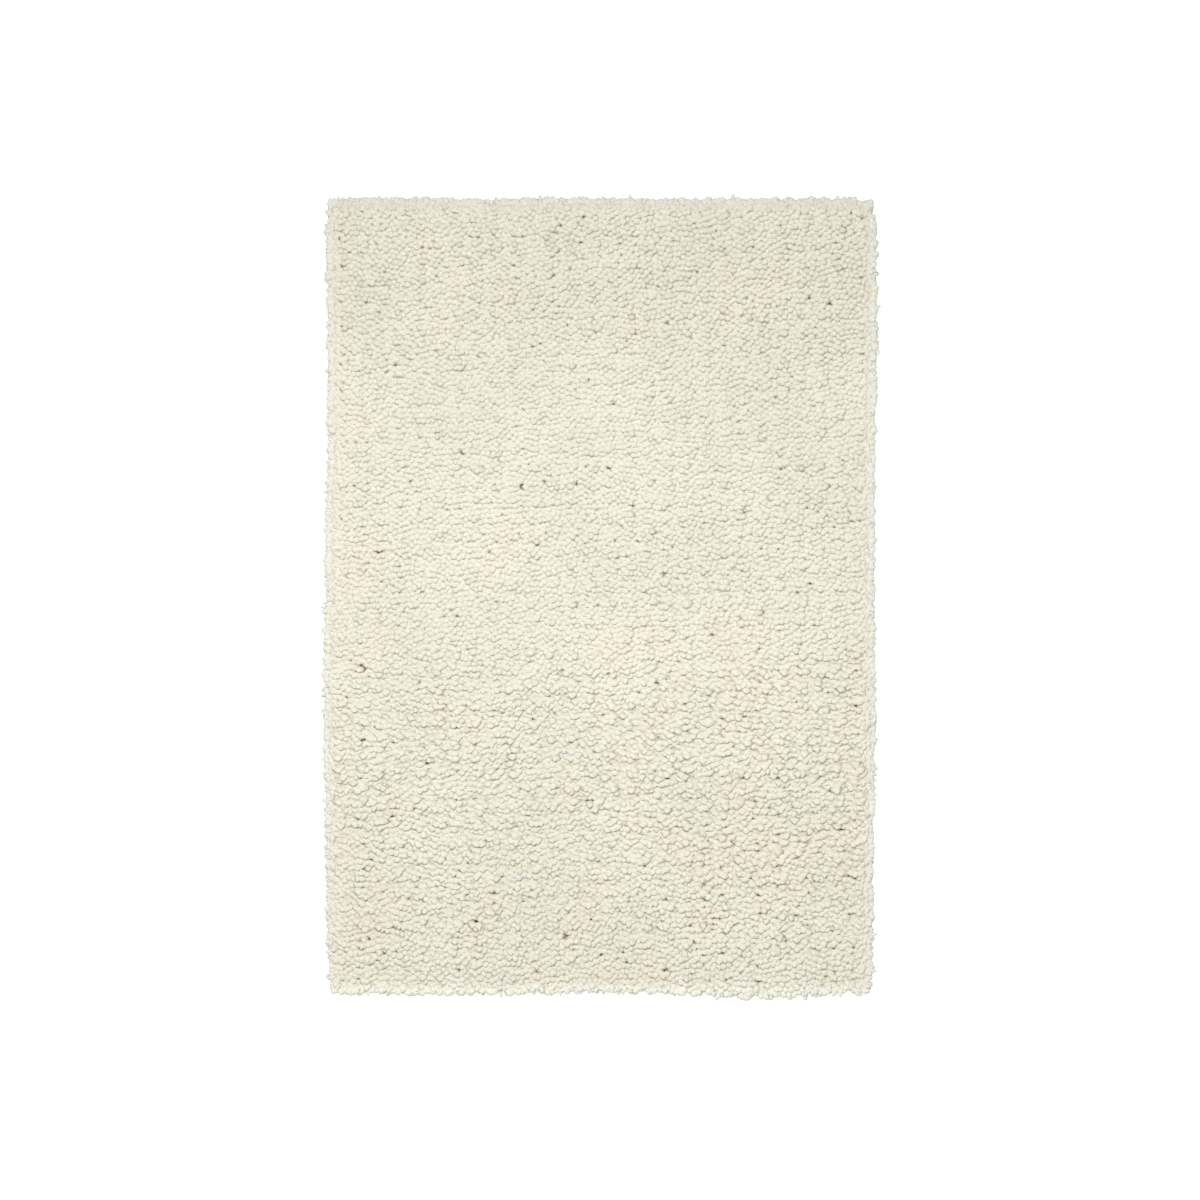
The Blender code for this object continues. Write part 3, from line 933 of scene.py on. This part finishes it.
FLOOR_SIZE = 160.0
FLOOR_COLOUR = (0.90, 0.90, 0.90, 1)
FLOOR_GLOW = 0.60  # the paper under the rug is lit from below, as on a light table
FLOOR_ROUGHNESS = 0.9
FLOOR_SPECULAR = 0.1
SKY_COLOUR = (1.0, 0.950, 0.885, 1)
SKY_STRENGTH = 0.32
SUN_STRENGTH = 1.76
SUN_ANGLE = math.radians(24)
SUN_TILT = (math.radians(-15), math.radians(-4))  # from overhead, towards +Y and -X
LAMP_POWER = 30.0
LAMP_SIZE = 1.5
LAMP_PLACE = (-0.22, 0.05, 2.6)

PHOTO_WIDTH = 1200  # pixels
PHOTO_SCALE = 0.0025014  # metres to a pixel of the photo, at the rug
RUG_MIDDLE = (600.7, 596.2)  # the middle of the rug's outline in the photo
LENS = 100.0  # millimetres, as is the next
SENSOR = 36.0
MID_PILE = 0.020  # the height at which the photo's scale holds


def make_floor():
    bpy.ops.object.select_all(action="DESELECT")
    bpy.ops.mesh.primitive_plane_add(size=FLOOR_SIZE, location=(0, 0, -FLOOR_CLEARANCE))
    floor = bpy.context.object
    floor.name = "floor"
    material, shader = new_material("pale_floor")
    shader.inputs["Base Color"].default_value = FLOOR_COLOUR
    shader.inputs["Emission Color"].default_value = FLOOR_COLOUR
    shader.inputs["Emission Strength"].default_value = FLOOR_GLOW
    shader.inputs["Roughness"].default_value = FLOOR_ROUGHNESS
    shader.inputs["Specular IOR Level"].default_value = FLOOR_SPECULAR
    floor.data.materials.append(material)


def make_light():
    world = bpy.data.worlds.new("studio")
    world.use_nodes = True
    sky = world.node_tree.nodes["Background"]
    sky.inputs["Color"].default_value = SKY_COLOUR
    sky.inputs["Strength"].default_value = SKY_STRENGTH
    bpy.context.scene.world = world
    sun = bpy.data.lights.new("window", "SUN")
    sun.energy = SUN_STRENGTH
    sun.angle = SUN_ANGLE
    make_object("window", sun).rotation_euler = (*SUN_TILT, 0)
    lamp = bpy.data.lights.new("softbox", "AREA")
    lamp.energy = LAMP_POWER
    lamp.size = LAMP_SIZE
    make_object("softbox", lamp).location = LAMP_PLACE


def make_camera():
    """Straight above, framed as the photo is."""
    lens = bpy.data.cameras.new("camera")
    lens.lens = LENS
    lens.sensor_width = SENSOR
    distance = PHOTO_WIDTH * PHOTO_SCALE * LENS / SENSOR
    lens.clip_end = FLOOR_SIZE
    camera = make_object("camera", lens)
    across = (PHOTO_WIDTH / 2 - RUG_MIDDLE[0]) * PHOTO_SCALE
    along = (RUG_MIDDLE[1] - PHOTO_WIDTH / 2) * PHOTO_SCALE
    camera.location = (across, along, distance + MID_PILE)
    bpy.context.scene.camera = camera


make_floor()
make_light()
make_camera()
bpy.context.scene.view_settings.view_transform = "Standard"
